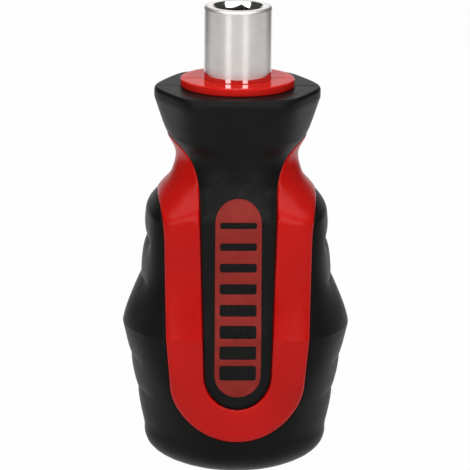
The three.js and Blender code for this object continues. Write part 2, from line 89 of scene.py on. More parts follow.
# Handle outside
FRONT_FLAT_WIDTH = 21.6
Station = namedtuple("Station", "z width depth corner side flat_share")
STATIONS = [
    Station(z=6.2, width=29.7, depth=25.6, corner=5, side=4, flat_share=0.42),
    Station(z=21.5, width=35.9, depth=28.4, corner=8, side=4, flat_share=FRONT_FLAT_WIDTH / 35.9),
    Station(z=23.7, width=36.85, depth=29.0, corner=8, side=4, flat_share=FRONT_FLAT_WIDTH / 36.85),
    Station(z=32.8, width=31.2, depth=26.2, corner=8, side=4, flat_share=FRONT_FLAT_WIDTH / 31.2),
    Station(z=42.4, width=29.5, depth=25.2, corner=8, side=4, flat_share=FRONT_FLAT_WIDTH / 29.5),
    Station(z=46.2, width=24.7, depth=22.4, corner=5, side=4, flat_share=0.64),
    Station(z=48.6, width=21.2, depth=20.4, corner=4, side=4, flat_share=0.56),
    Station(z=51.7, width=19.9, depth=19.4, corner=4, side=4, flat_share=0.52),
    Station(z=55.2, width=22.9, depth=21.4, corner=6, side=6, flat_share=0.59),
    Station(z=61.1, width=27.0, depth=25.0, corner=9, side=10, flat_share=0.59),
]
BASE_Z = STATIONS[0].z
RIDGE = 2
RIDGE_Z = STATIONS[RIDGE].z
GUARD_TOP_Z = 62.8
GUARD_RIM_HEIGHTS = (0.6, 2.2)
GUARD_RIM_INSETS = (0.45, 0.85)
GUARD_RIM_FRONT_DEG = (54, 68)
BASE_FLAT_SHARE = 0.56
DOME_FULLNESS = 2.5
CREASE_STEEPNESS = 1.2
SIDE_CREASE_STEEPNESS = 0.5
NOTCH_SPREAD = 1.2
NOTCH_DEPTHS = {31.6: 0.4, 37.9: 0.9, 18.3: 0.3, 12.6: 0.3, 6.9: 0.1}
NOTCH_FULL_DEG = 22
NOTCH_FADE_DEG = 42

# Seam between guard and bands
TONGUE_BOTTOM_Z = 11.9
TONGUE_END_HALF = 5.5
TONGUE_END_HEIGHT = 6.0
TONGUE_HALF = 6.35
TONGUE_FLARE_Z = 46.5
TONGUE_FLARE_LENGTH = 8.7

# Seam between bands and palm grip
BAND_BOTTOM_Z = 6.3
BAND_END_HALF = 11.05
BAND_END_HEIGHT = 10.0
BAND_RIDGE_HALF = 11.7
BAND_HALF = 12.0
BAND_FLARE_Z = 37.5
BAND_FLARE_LENGTH = 8.4
BAND_FLARE_OVERSHOOT = 1.0

# Edges along the seams
BAND_PROUD = 0.22
BAND_PROUD_FADE_Z = (44, 51)
BAND_INNER_ROUND = 0.45
BAND_OUTER_ROUND = 1.0
TONGUE_BEVEL = 1.3
TONGUE_BEVEL_SLOPE = 0.3
TONGUE_BEVEL_SOFTNESS = 0.25
TONGUE_BEVEL_FADE = 0.7
TONGUE_BEVEL_FADE_Z = (44, 50)
EDGE_DROP = 0.45
GRIP_ROUND = 0.22
SEAM_HALF_GAP = 0.02
SHELL_DEPTH = 1.6

# Badges
BADGE_HALF = 3.75
BADGE_BOTTOM_Z = 14.1
BADGE_TOP_Z = 46.5
BADGE_BORDER = 0.8
BADGE_END_MARGIN = 2.4
BADGE_PROUD = 0.1
BADGE_SINK = 0.02
BADGE_ROUND = 0.1
BADGE_GRID = 0.75
SLOT_COUNT = 8
SLOT_TOP_HEIGHT = 1.0
SLOT_BOTTOM_HEIGHT = 2.5
SLOT_ROUND = 0.35
BADGE_FILL_HALF = 3.0
BADGE_CREASE_HALF = 3.6
BADGE_CREASE_MARGIN = 0.02

# Fineness
ROW_STEP = 0.55
ARCH_ROWS = 26
FLARE_ROWS = 36
SEAM_POINTS = 1600
SEAM_BLOCK = 2000
HALVINGS = 44
TURN_STEP_DEG = 2.5
INNER_STRIDE = 8
GUARD_COLUMNS = 6 * INNER_STRIDE + 1
PALM_COLUMNS = 5 * INNER_STRIDE + 1
BAND_COLUMNS = 4 * INNER_STRIDE + 1
GUARD_RIM_ROWS = 9
GUARD_RIM_TURN = 1.5
GUARD_TOP_ROWS = 7
DOME_ROWS = 12
BASE_FLAT_ROWS = (0, 0.35, 0.7, 0.92)
NOTCH_ROWS = (-0.6, -0.3, -0.12, 0, 0.12, 0.3, 0.6)
CREASE_ROWS = [RIDGE_Z + step for step in (-0.3, -0.1, 0, 0.1, 0.3)]
SPLIT_LINE_ROWS_DEG = (-1.6, -1.1, -0.75, -0.4, 0, 0.4, 0.75, 1.1, 1.6)
NO_ANGLE = 1e-6
AXIS_RADIUS = 0.01
FAR_FROM_SEAM = 5.0


def smooth_through(values, crease=None, steepness=1.0):
    """Monotone smooth curve through one value per station, which may bend sharply at one of them."""
    heights = np.array([station.z for station in STATIONS])
    values = np.array(values, float)
    slopes = np.diff(values) / np.diff(heights)
    tangents = np.zeros(len(values))
    tangents[0] = slopes[0]
    tangents[-1] = slopes[-1]
    for i in range(1, len(slopes)):
        if slopes[i - 1] * slopes[i] > 0:
            tangents[i] = 2 * slopes[i - 1] * slopes[i] / (slopes[i - 1] + slopes[i])

    leaving = tangents[:-1].copy()
    arriving = tangents[1:].copy()
    if crease is not None:
        leaving[crease] = steepness * slopes[crease]
        arriving[crease - 1] = steepness * slopes[crease - 1]

    def curve(z):
        inside = np.clip(z, heights[0], heights[-1])
        i = np.clip(np.searchsorted(heights, inside) - 1, 0, len(slopes) - 1)
        span = heights[i + 1] - heights[i]
        t = (inside - heights[i]) / span
        ends = values[i] * (1 + 2 * t) * (1 - t) ** 2 + values[i + 1] * t * t * (3 - 2 * t)
        return ends + span * (leaving[i] * t * (1 - t) ** 2 + arriving[i] * t * t * (t - 1))

    return curve


width_at = smooth_through([station.width for station in STATIONS], RIDGE, SIDE_CREASE_STEEPNESS)
depth_at = smooth_through([station.depth for station in STATIONS], RIDGE, CREASE_STEEPNESS)
corner_at = smooth_through([station.corner for station in STATIONS])
side_at = smooth_through([station.side for station in STATIONS])
flat_share_at = smooth_through([station.flat_share for station in STATIONS])


def dome_share(z):
    """Share of the base's width that is left below the base station."""
    height = BASE_Z / (1 - BASE_FLAT_SHARE ** DOME_FULLNESS) ** (1 / DOME_FULLNESS)
    below = np.maximum(0, BASE_Z - z) / height
    return (1 - below ** DOME_FULLNESS) ** (1 / DOME_FULLNESS)


def smoothstep(value, low, high):
    t = np.clip((value - low) / (high - low), 0, 1)
    return t * t * (3 - 2 * t)


def rim_round(angle, z):
    """Inset of the guard's rim, which is rounder along the front flat than along the slanted sides."""
    front = smoothstep(np.abs(angle), *np.radians(GUARD_RIM_FRONT_DEG))
    height = GUARD_RIM_HEIGHTS[0] + (GUARD_RIM_HEIGHTS[1] - GUARD_RIM_HEIGHTS[0]) * front
    inset = GUARD_RIM_INSETS[0] + (GUARD_RIM_INSETS[1] - GUARD_RIM_INSETS[0]) * front
    into = np.clip(1 - (GUARD_TOP_Z - z) / height, 0, 1)
    return inset * (1 - np.sqrt(1 - into * into))


def notch_at(angle, z):
    depth = sum(cut * np.exp(-np.abs(z - height) / NOTCH_SPREAD) for height, cut in NOTCH_DEPTHS.items())
    fade = smoothstep(np.abs(angle), math.radians(NOTCH_FULL_DEG), math.radians(NOTCH_FADE_DEG))
    return depth * (1 - fade)


def surface(angle, z, outward=0.0, notched=False):
    """Points of the handle's outside. Angle 0 is the right side and a quarter turn is the front."""
    angle, z, outward = np.broadcast_arrays(np.asarray(angle, float), np.asarray(z, float), outward)
    notch = notch_at(angle, z) if notched else 0.0
    inset = rim_round(angle, z)
    half_width = width_at(z) / 2 * dome_share(z) - inset - notch + outward
    half_depth = depth_at(z) / 2 * dome_share(z) - inset + outward
    corner = corner_at(z)
    side = side_at(z)
    slant = 1 - flat_share_at(z)
    u = np.cos(angle)
    v = np.sin(angle)

    def reach(across, ahead):
        slopes = np.abs(across + slant * ahead) ** side + np.abs(across - slant * ahead) ** side
        return (np.abs(ahead) ** corner + slopes ** (corner / side)) ** (1 / corner)

    x = half_width * u / reach(u, v) * reach(1, 0)
    y = half_depth * v / reach(u, v) * reach(0, 1)
    return np.stack([x, -y, z], axis=-1)


def angle_at(x, z):
    """Angle at which the outside has this x, from the right side to the front."""
    x, z = np.broadcast_arrays(np.asarray(x, float), np.asarray(z, float))
    low = np.zeros(x.shape)
    high = np.full(x.shape, math.pi / 2)
    for _ in range(HALVINGS):
        middle = (low + high) / 2
        wider = surface(middle, z)[..., 0] > x
        low = np.where(wider, middle, low)
        high = np.where(wider, high, middle)
    return (low + high) / 2


def quadratic(start, bend, end, count):
    t = np.linspace(0, 1, count)[:, None]
    return (1 - t) ** 2 * np.array(start) + 2 * t * (1 - t) * np.array(bend) + t * t * np.array(end)


def arch(half, bottom, height, count):
    turn = np.linspace(0, math.pi / 2, count)
    return np.stack([half * np.sin(turn), bottom + height * (1 - np.cos(turn))], axis=-1)


def tongue_seam():
    """Seam of guard and bands as x and z, from the middle of the tongue's end up to the side."""
    top = TONGUE_FLARE_Z + TONGUE_FLARE_LENGTH
    edge = float(width_at(top)) / 2
    end = arch(TONGUE_END_HALF, TONGUE_BOTTOM_Z, TONGUE_END_HEIGHT, ARCH_ROWS)
    start = (TONGUE_HALF, TONGUE_FLARE_Z)
    flare = quadratic(start, (TONGUE_HALF, top - TONGUE_FLARE_LENGTH / 3), (edge, top), FLARE_ROWS)
    return np.concatenate([end, flare])


def band_seam():
    """Seam of bands and palm grip as x and z, from the middle of the bands' foot up to the side."""
    top = BAND_FLARE_Z + BAND_FLARE_LENGTH
    edge = float(width_at(top)) / 2 + BAND_FLARE_OVERSHOOT
    foot = arch(BAND_END_HALF, BAND_BOTTOM_Z, BAND_END_HEIGHT, ARCH_ROWS)
    start = (BAND_HALF, BAND_FLARE_Z)
    flare = quadratic(start, (BAND_HALF, top - BAND_FLARE_LENGTH / 8), (edge, top), 3 * FLARE_ROWS)
    seam = np.concatenate([foot, [(BAND_RIDGE_HALF, RIDGE_Z)], flare])
    inside = seam[:, 0] < width_at(seam[:, 1]) / 2
    last = int(np.argmin(inside)) - 1
    spare = width_at(seam[last:last + 2, 1]) / 2 - seam[last:last + 2, 0]
    share = spare[0] / (spare[0] - spare[1])
    tip = seam[last] + (seam[last + 1] - seam[last]) * share
    return np.concatenate([seam[:last + 1], [tip]])


TONGUE_SEAM = tongue_seam()
BAND_SEAM = band_seam()


def seam_angles(seam, z, shift):
    """Angle of a seam at each height, with the seam moved sideways by shift."""
    x = np.interp(z, seam[:, 1], seam[:, 0] + shift)
    x = np.where(z <= seam[0, 1], 0, np.maximum(x, 0))
    angle = angle_at(x, z)
    return np.where(z >= seam[-1, 1], 0, angle)


def seam_line(seam):
    """Close points along a seam on the handle's outside, closest at its end, where x hardly changes."""
    steps = np.linalg.norm(np.diff(seam, axis=0), axis=1)
    length = np.concatenate([[0], np.cumsum(steps)])
    places = length[-1] * (1 - np.linspace(1, 0, SEAM_POINTS) ** 2)
    x = np.interp(places, length, seam[:, 0])
    z = np.interp(places, length, seam[:, 1])
    return surface(angle_at(x, z), z)


def distance_to(points, line):
    flat = points.reshape(-1, 3)
    nearest = np.empty(len(flat))
    for start in range(0, len(flat), SEAM_BLOCK):
        block = flat[start:start + SEAM_BLOCK]
        nearest[start:start + SEAM_BLOCK] = np.linalg.norm(block[:, None] - line[None], axis=2).min(axis=1)
    return nearest.reshape(points.shape[:-1])


def rounded(distance, radius):
    """Drop of an edge with this radius at a distance from it."""
    left = np.clip(radius - distance, 0, radius)
    return radius - np.sqrt(radius * radius - left * left)


def bevelled(distance, width, slope):
    """Drop of a bevel of this width and slope, which starts softly, at a distance from the edge."""
    inside = width - distance
    return slope * (inside + np.sqrt(inside * inside + (TONGUE_BEVEL_SOFTNESS * width) ** 2)) / 2


def heights_between(low, high, extra):
    """Heights for rows: even steps and the extra ones, without rows that nearly meet."""
    even = np.linspace(low, high, max(2, int(round((high - low) / ROW_STEP)) + 1))
    wanted = sorted([low, high] + [z for z in extra if low < z < high])
    rows = list(wanted)
    for z in even:
        if min(abs(z - other) for other in wanted) > ROW_STEP / 2:
            rows.append(z)
    return np.array(sorted(rows))


def spread(count):
    """Shares from 0 to 1 that crowd together at both ends."""
    return (1 - np.cos(np.linspace(0, math.pi, count))) / 2


def shell_faces(outer, inner, low_wall, high_wall):
    """Faces of a shell from its outer and inner grids, with walls along the seams."""
    rows, columns = outer.shape[:2]
    inner_columns = inner.shape[1]
    base = rows * columns
    faces = []
    for i in range(rows - 1):
        a = i * columns
        b = a + columns
        faces += [(a + j, a + j + 1, b + j + 1, b + j) for j in range(columns - 1)]
        c = base + i * inner_columns
        d = c + inner_columns
        faces += [(c + j + 1, c + j, d + j, d + j + 1) for j in range(inner_columns - 1)]
        if low_wall[i] or low_wall[i + 1]:
            faces.append((a, b, d, c))
        if high_wall[i] or high_wall[i + 1]:
            faces.append((a + columns - 1, c + inner_columns - 1, d + inner_columns - 1, b + columns - 1))
    return faces


def end_faces(outer, inner, row):
    """Faces that close one end row of a shell between its outer and inner grids."""
    rows, columns = outer.shape[:2]
    inner_columns = inner.shape[1]
    row = row % rows
    a = row * columns
    c = rows * columns + row * inner_columns
    faces = []
    for k in range(inner_columns - 1):
        span = range(k * INNER_STRIDE, (k + 1) * INNER_STRIDE + 1)
        faces.append([a + j for j in span] + [c + k + 1, c + k])
    return faces


def mirrored(points, faces):
    """Points and faces of a quarter, with its copies on the left and at the back."""
    for axis in (0, 1):
        flipped = points.copy()
        flipped[:, axis] *= -1
        count = len(points)
        faces = faces + [[count + i for i in reversed(face)] for face in faces]
        points = np.concatenate([points, flipped])
    return points, faces


def make_piece(name, points, faces, sharp_deg=38, to_seam=None):
    """Welded mesh object from points in millimetres, which may keep each point's distance to the seam."""
    points = np.asarray(points, float).reshape(-1, 3)
    mesh = bpy.data.meshes.new(name)
    mesh.from_pydata((points * MM).tolist(), [], [list(face) for face in faces])
    if to_seam is not None:
        layer = mesh.attributes.new("seam", "FLOAT", "POINT")
        layer.data.foreach_set("value", to_seam.astype(np.float32))
    editing = bmesh.new()
    editing.from_mesh(mesh)
    bmesh.ops.remove_doubles(editing, verts=editing.verts, dist=2e-7)
    bmesh.ops.dissolve_degenerate(editing, edges=editing.edges, dist=1e-7)
    bmesh.ops.recalc_face_normals(editing, faces=editing.faces)
    editing.to_mesh(mesh)
    editing.free()
    mesh.shade_smooth()
    mesh.set_sharp_from_angle(angle=math.radians(sharp_deg))
    piece = bpy.data.objects.new(name, mesh)
    bpy.context.scene.collection.objects.link(piece)
    return piece


def inner_points(outer_angles, z, depth):
    return surface(outer_angles[:, ::INNER_STRIDE], z[:, None], -depth)


def guard_piece():
    """Finger guard with its two tongues."""
    seam_heights = list(TONGUE_SEAM[:, 1])
    turns = np.linspace(0, GUARD_RIM_TURN, GUARD_RIM_ROWS)
    rim = [GUARD_TOP_Z - h * (1 - math.sin(t)) for h in GUARD_RIM_HEIGHTS for t in turns]
    z = heights_between(TONGUE_BOTTOM_Z, GUARD_TOP_Z, seam_heights + rim + CREASE_ROWS)
    low = seam_angles(TONGUE_SEAM, z, -SEAM_HALF_GAP)
    angles = low[:, None] + (math.pi / 2 - low[:, None]) * spread(GUARD_COLUMNS)
    skin = surface(angles, z[:, None])
    seam = distance_to(skin, seam_line(TONGUE_SEAM))
    split = SPLIT_LINE_DEPTH * np.exp(-(skin[..., 1] / SPLIT_LINE_HALF) ** 2)
    bevel = bevelled(seam, TONGUE_BEVEL, TONGUE_BEVEL_SLOPE)
    bevel *= 1 - TONGUE_BEVEL_FADE * smoothstep(z[:, None], *TONGUE_BEVEL_FADE_Z)
    outer = surface(angles, z[:, None], -bevel - split)
    inner = inner_points(angles, np.minimum(z, GUARD_TOP_Z - SHELL_DEPTH), SHELL_DEPTH)
    # The flat top runs in from the rim to under the collar.
    hole = SPIGOT_RADIUS + SEAM_HALF_GAP
    edge = outer[-1]
    turn = np.arctan2(-edge[:, 1], edge[:, 0])
    circle = np.stack([hole * np.cos(turn), -hole * np.sin(turn), np.full(len(turn), GUARD_TOP_Z)], axis=-1)
    shares_in = np.linspace(0, 1, GUARD_TOP_ROWS + 1)[1:, None, None]
    top = edge + (circle - edge) * shares_in
    top[..., 2] -= SPLIT_LINE_DEPTH * np.exp(-(top[..., 1] / SPLIT_LINE_HALF) ** 2)
    under = circle[::INNER_STRIDE].copy()
    under[:, 2] = GUARD_TOP_Z - SHELL_DEPTH
    inner_top = inner[-1] + (under - inner[-1]) * shares_in
    outer = np.concatenate([outer, top])
    inner = np.concatenate([inner, inner_top])
    low_wall = np.concatenate([low > NO_ANGLE, np.zeros(len(top), bool)])
    faces = shell_faces(outer, inner, low_wall, np.zeros(len(outer), bool))
    faces += end_faces(outer, inner, -1)
    points = np.concatenate([outer.reshape(-1, 3), inner.reshape(-1, 3)])
    return make_piece("guard_grip_soft", *mirrored(points, faces))


def palm_piece():
    """Scalloped sides and rounded base."""
    notches = [height + step for height in NOTCH_DEPTHS for step in NOTCH_ROWS]
    dome = list(BASE_Z * (1 - np.cos(np.linspace(0, math.pi / 2, DOME_ROWS))))
    z = heights_between(0, BAND_SEAM[-1, 1], list(BAND_SEAM[:, 1]) + notches + dome + CREASE_ROWS)
    high = seam_angles(BAND_SEAM, z, SEAM_HALF_GAP)
    angles = high[:, None] * spread(PALM_COLUMNS)
    skin = surface(angles, z[:, None])
    seam = distance_to(skin, seam_line(BAND_SEAM))
    outer = surface(angles, z[:, None], -rounded(seam, GRIP_ROUND), notched=True)
    inner = inner_points(angles, np.maximum(z, SHELL_DEPTH), SHELL_DEPTH)
    # The flat under the base runs in to the axis.
    shares_in = np.array(BASE_FLAT_ROWS)[:, None, None]
    flat = outer[:1] * shares_in
    inner_flat = inner[:1] * np.array([1, 1, 0])
    inner_flat = inner_flat * shares_in + np.array([0, 0, SHELL_DEPTH])
    outer = np.concatenate([flat, outer])
    inner = np.concatenate([inner_flat, inner])
    high_wall = np.concatenate([np.zeros(len(flat), bool), high < math.pi / 2 - NO_ANGLE])
    faces = shell_faces(outer, inner, np.zeros(len(outer), bool), high_wall)
    points = np.concatenate([outer.reshape(-1, 3), inner.reshape(-1, 3)])
    return make_piece("palm_grip_soft", *mirrored(points, faces))


def band_shell():
    """Red bands and neck between the two soft pieces, as points, faces and distances to the seam."""
    extra = list(TONGUE_SEAM[:, 1]) + list(BAND_SEAM[:, 1]) + CREASE_ROWS
    z = heights_between(BAND_BOTTOM_Z, TONGUE_SEAM[-1, 1], extra)
    low = seam_angles(BAND_SEAM, z, -SEAM_HALF_GAP)
    high = np.maximum(seam_angles(TONGUE_SEAM, z, SEAM_HALF_GAP), low)
    angles = low[:, None] + (high - low)[:, None] * spread(BAND_COLUMNS)
    skin = surface(angles, z[:, None])
    to_tongue = distance_to(skin, seam_line(TONGUE_SEAM))
    to_palm = distance_to(skin, seam_line(BAND_SEAM))
    proud = BAND_PROUD * (1 - smoothstep(z[:, None], *BAND_PROUD_FADE_Z))
    lift = proud - rounded(to_tongue, BAND_INNER_ROUND)
    lift -= EDGE_DROP * rounded(to_palm, BAND_OUTER_ROUND)
    outer = surface(angles, z[:, None], np.maximum(lift, -SHELL_DEPTH / 2))
    inner = inner_points(angles, z, SHELL_DEPTH)
    faces = shell_faces(outer, inner, low > NO_ANGLE, high < math.pi / 2 - NO_ANGLE)
    points = np.concatenate([outer.reshape(-1, 3), inner.reshape(-1, 3)])
    quarter = np.concatenate([np.minimum(to_tongue, to_palm).ravel(), np.zeros(inner[..., 0].size)])
    return *mirrored(points, faces), np.tile(quarter, 4)


def corner_arc(centre, radius, start_deg, end_deg, count=5):
    """Points of a rounded corner in a turned profile."""
    turn = np.radians(np.linspace(start_deg, end_deg, count))
    return [(centre[0] + radius * math.cos(t), centre[1] + radius * math.sin(t)) for t in turn]


def turned(profile, turns):
    """Grid of points from a profile of radius and height, swept through the given turns."""
    profile = np.array(profile, float)
    radius = profile[:, None, 0]
    height = np.broadcast_to(profile[:, None, 1], (len(profile), len(turns)))
    return np.stack([radius * np.cos(turns), radius * np.sin(turns), height], axis=-1)


def ring_faces(a, b, count):
    """Faces between two closed rows of points that start at a and b."""
    return [(a + j, a + (j + 1) % count, b + (j + 1) % count, b + j) for j in range(count)]


def closed_faces(grid):
    """Faces of a grid whose rows and columns both close on themselves."""
    rows, count = grid.shape[:2]
    faces = []
    for i in range(rows):
        faces += ring_faces(i * count, (i + 1) % rows * count, count)
    return faces


def collar_ring():
    """Collar disc with its boss and the spigot below it."""
    low = COLLAR_BOTTOM_Z + SEAM_HALF_GAP
    profile = [(COLLAR_BORE, SPIGOT_BOTTOM_Z), (SPIGOT_RADIUS, SPIGOT_BOTTOM_Z), (SPIGOT_RADIUS, low)]
    inset = COLLAR_RADIUS - COLLAR_ROUND
    profile += corner_arc((inset, low + COLLAR_ROUND), COLLAR_ROUND, -90, 0)
    profile += corner_arc((inset, COLLAR_TOP_Z - COLLAR_ROUND), COLLAR_ROUND, 0, 90)
    for share in (0.25, 0.5, 0.75):
        profile.append((inset + (BOSS_RADIUS + BOSS_FOOT_ROUND - inset) * share, COLLAR_TOP_Z))
    foot = (BOSS_RADIUS + BOSS_FOOT_ROUND, COLLAR_TOP_Z + BOSS_FOOT_ROUND)
    profile += corner_arc(foot, BOSS_FOOT_ROUND, -90, -180)
    head = (BOSS_RADIUS - BOSS_ROUND, BOSS_TOP_Z - BOSS_ROUND)
    profile += corner_arc(head, BOSS_ROUND, 0, 90)
    profile.append((COLLAR_BORE, BOSS_TOP_Z))
    split = np.array(SPLIT_LINE_ROWS_DEG)
    even = np.arange(0, 360, TURN_STEP_DEG)
    even = even[np.abs((even + 90) % 180 - 90) > split[-1]]
    turns = np.radians(np.sort(np.concatenate([even, split % 360, split + 180])))
    points = turned(profile, turns)
    line = np.exp(-(points[..., 1] / SPLIT_LINE_HALF) ** 2)
    on_top = (points[..., 2] > COLLAR_TOP_Z - COLLAR_ROUND) & (np.abs(points[..., 0]) > SPLIT_LINE_START)
    points[..., 2] -= np.where(on_top, SPLIT_LINE_DEPTH, 0) * line
    return points.reshape(-1, 3), closed_faces(points)


def red_piece():
    """Bands and collar as one piece."""
    points, faces, to_seam = band_shell()
    more_points, more_faces = collar_ring()
    start = len(points)
    faces = faces + [[start + i for i in face] for face in more_faces]
    points = np.concatenate([points, more_points])
    to_seam = np.concatenate([to_seam, np.full(len(more_points), FAR_FROM_SEAM)])
    return make_piece("red_body_bands", points, faces, to_seam=to_seam)


def socket_radius(turns):
    """Distance from the axis to the socket's wall, with corners at the front and the back."""
    sector = math.pi / 3
    off = (turns - math.pi / 2 - math.radians(SOCKET_TURN_DEG)) % sector
    return SOCKET_ACROSS_FLATS / 2 / np.cos(off - sector / 2)


def sleeve_piece():
    """Turned sleeve with its hex socket, lead-in and spring groove."""
    turns = np.radians(np.arange(0, 360, TURN_STEP_DEG))
    lead = SOCKET_ACROSS_FLATS / math.sqrt(3) + SOCKET_LEAD_IN
    wall = socket_radius(turns)
    seat = BOSS_TOP_Z + SEAM_HALF_GAP
    side = SLEEVE_RADIUS
    round_inset = SLEEVE_EDGE_ROUND * math.tan(math.pi / 8)
    profile = [(TAIL_RADIUS, TAIL_Z), (TAIL_RADIUS, seat), (side - SLEEVE_FOOT_ROUND, seat)]
    profile += corner_arc((side - SLEEVE_FOOT_ROUND, seat + SLEEVE_FOOT_ROUND), SLEEVE_FOOT_ROUND, -90, 0)
    shoulder = (side - SLEEVE_EDGE_ROUND, RIM_Z - SLEEVE_CHAMFER - round_inset)
    straight = (seat + SLEEVE_FOOT_ROUND + EDGE_SUPPORT, shoulder[1] - EDGE_SUPPORT)
    profile += [(side, z) for z in np.linspace(*straight, 4)]
    profile += corner_arc(shoulder, SLEEVE_EDGE_ROUND, 0, 45, 4)
    rim = (side - SLEEVE_CHAMFER - round_inset, RIM_Z - SLEEVE_EDGE_ROUND)
    profile += corner_arc(rim, SLEEVE_EDGE_ROUND, 45, 90, 4)
    lead_round = (lead + round_inset, RIM_Z - SLEEVE_EDGE_ROUND)
    profile += corner_arc(lead_round, SLEEVE_EDGE_ROUND, 90, 135, 4)

    def inside_row(radius, z):
        height = np.broadcast_to(z, len(turns))
        return np.stack([radius * np.cos(turns), radius * np.sin(turns), height], axis=-1)

    groove_top = RING_Z + GROOVE_HALF
    groove_bottom = RING_Z - GROOVE_HALF
    rows = [
        inside_row(wall, RIM_Z - (lead - wall)),
        inside_row(wall, groove_top),
        inside_row(GROOVE_RADIUS, groove_top),
        inside_row(GROOVE_RADIUS, groove_bottom),
        inside_row(wall, groove_bottom),
        inside_row(wall, MAGNET_TOP_Z),
        inside_row(wall, TAIL_Z),
    ]
    points = np.concatenate([turned(profile, turns), np.array(rows)])
    return make_piece("holder_sleeve_steel", points, closed_faces(points), sharp_deg=24)


def ring_piece():
    """Open spring ring in the socket's groove, with rounded wire ends."""
    sides = 16
    steps = 90
    around = np.linspace(0, 2 * math.pi, sides, endpoint=False)
    start = math.radians(RING_OPENING_DEG / 2)
    bend = np.linspace(start, 2 * math.pi - start, steps)
    cap_rows = 4
    cap_turn = np.linspace(0, math.pi / 2, cap_rows + 1)[:-1]
    cap = np.sin(cap_turn)
    thick = np.concatenate([cap, np.ones(steps - 2 * cap_rows), cap[::-1]])
    slide = RING_WIRE_RADIUS / RING_RADIUS * np.cos(cap_turn)
    bend[:cap_rows] = bend[cap_rows] - slide
    bend[-cap_rows:] = bend[-cap_rows - 1] + slide[::-1]
    wire = RING_WIRE_RADIUS * np.maximum(thick, RING_END_SHARE)
    radius = RING_RADIUS + wire[:, None] * np.cos(around)
    points = np.stack([
        radius * np.cos(bend)[:, None],
        radius * np.sin(bend)[:, None],
        RING_Z + wire[:, None] * np.sin(around),
    ], axis=-1)
    faces = [list(range(sides)), list(range((steps - 1) * sides, steps * sides))]
    for i in range(steps - 1):
        faces += ring_faces(i * sides, (i + 1) * sides, sides)
    return make_piece("retaining_ring_wire", points, faces)


def magnet_piece():
    """Plated magnet with a chamfered edge and a slightly dished face."""
    turns = np.radians(np.arange(0, 360, 2 * TURN_STEP_DEG))
    bottom = MAGNET_TOP_Z - MAGNET_HEIGHT
    edge = MAGNET_RADIUS - MAGNET_CHAMFER
    profile = [
        (AXIS_RADIUS, bottom),
        (edge, bottom),
        (MAGNET_RADIUS, bottom + MAGNET_CHAMFER),
        (MAGNET_RADIUS, MAGNET_TOP_Z - MAGNET_CHAMFER),
        (edge, MAGNET_TOP_Z),
        (edge * MAGNET_DISH_SHARE, MAGNET_TOP_Z - MAGNET_DISH_START),
        (AXIS_RADIUS, MAGNET_TOP_Z - MAGNET_DISH),
    ]
    points = turned(profile, turns)
    return make_piece("socket_magnet_plated", points, closed_faces(points), sharp_deg=30)


def obround(half, bottom, top, count=22):
    """Closed outline of a bar with round ends, as x and z."""
    lower = np.linspace(math.pi, 2 * math.pi, count)
    upper = np.linspace(0, math.pi, count)
    points = [(half * math.cos(t), bottom + half * math.sin(t)) for t in lower]
    sides = np.linspace(bottom, top, 40)[1:-1]
    points += [(half, z) for z in sides]
    points += [(half * math.cos(t), top + half * math.sin(t)) for t in upper]
    points += [(-half, z) for z in sides[::-1]]
    return np.array(points)


def rounded_slot(half_width, middle, half_height, radius, count=6):
    """Closed outline of a slot with rounded corners, as x and z."""
    points = []
    corners = [(1, 1, 0), (-1, 1, 90), (-1, -1, 180), (1, -1, 270)]
    for side, up, start in corners:
        centre = (side * (half_width - radius), middle + up * (half_height - radius))
        points += corner_arc(centre, radius, start, start + 90, count)
    return np.array(points)


def badge_slots(grow):
    """Slot outlines of the badge, grown by a distance, with their limits for tests."""
    pitch = (BADGE_TOP_Z - BADGE_BOTTOM_Z - 2 * BADGE_END_MARGIN) / SLOT_COUNT
    half_width = BADGE_HALF - BADGE_BORDER + grow
    slots = []
    for i in range(SLOT_COUNT):
        share = i / (SLOT_COUNT - 1)
        half = (SLOT_TOP_HEIGHT + (SLOT_BOTTOM_HEIGHT - SLOT_TOP_HEIGHT) * share) / 2 + grow
        middle = BADGE_TOP_Z - BADGE_END_MARGIN - pitch * (i + 0.5)
        slots.append((rounded_slot(half_width, middle, half, SLOT_ROUND + grow), half_width, middle, half))
    return slots


def on_front(flat, lift):
    """Points of the front outside above x and z pairs."""
    x = flat[:, 0]
    z = flat[:, 1]
    points = surface(angle_at(np.abs(x), z), z, lift)
    points[:, 0] *= np.where(x < 0, -1, 1)
    return points


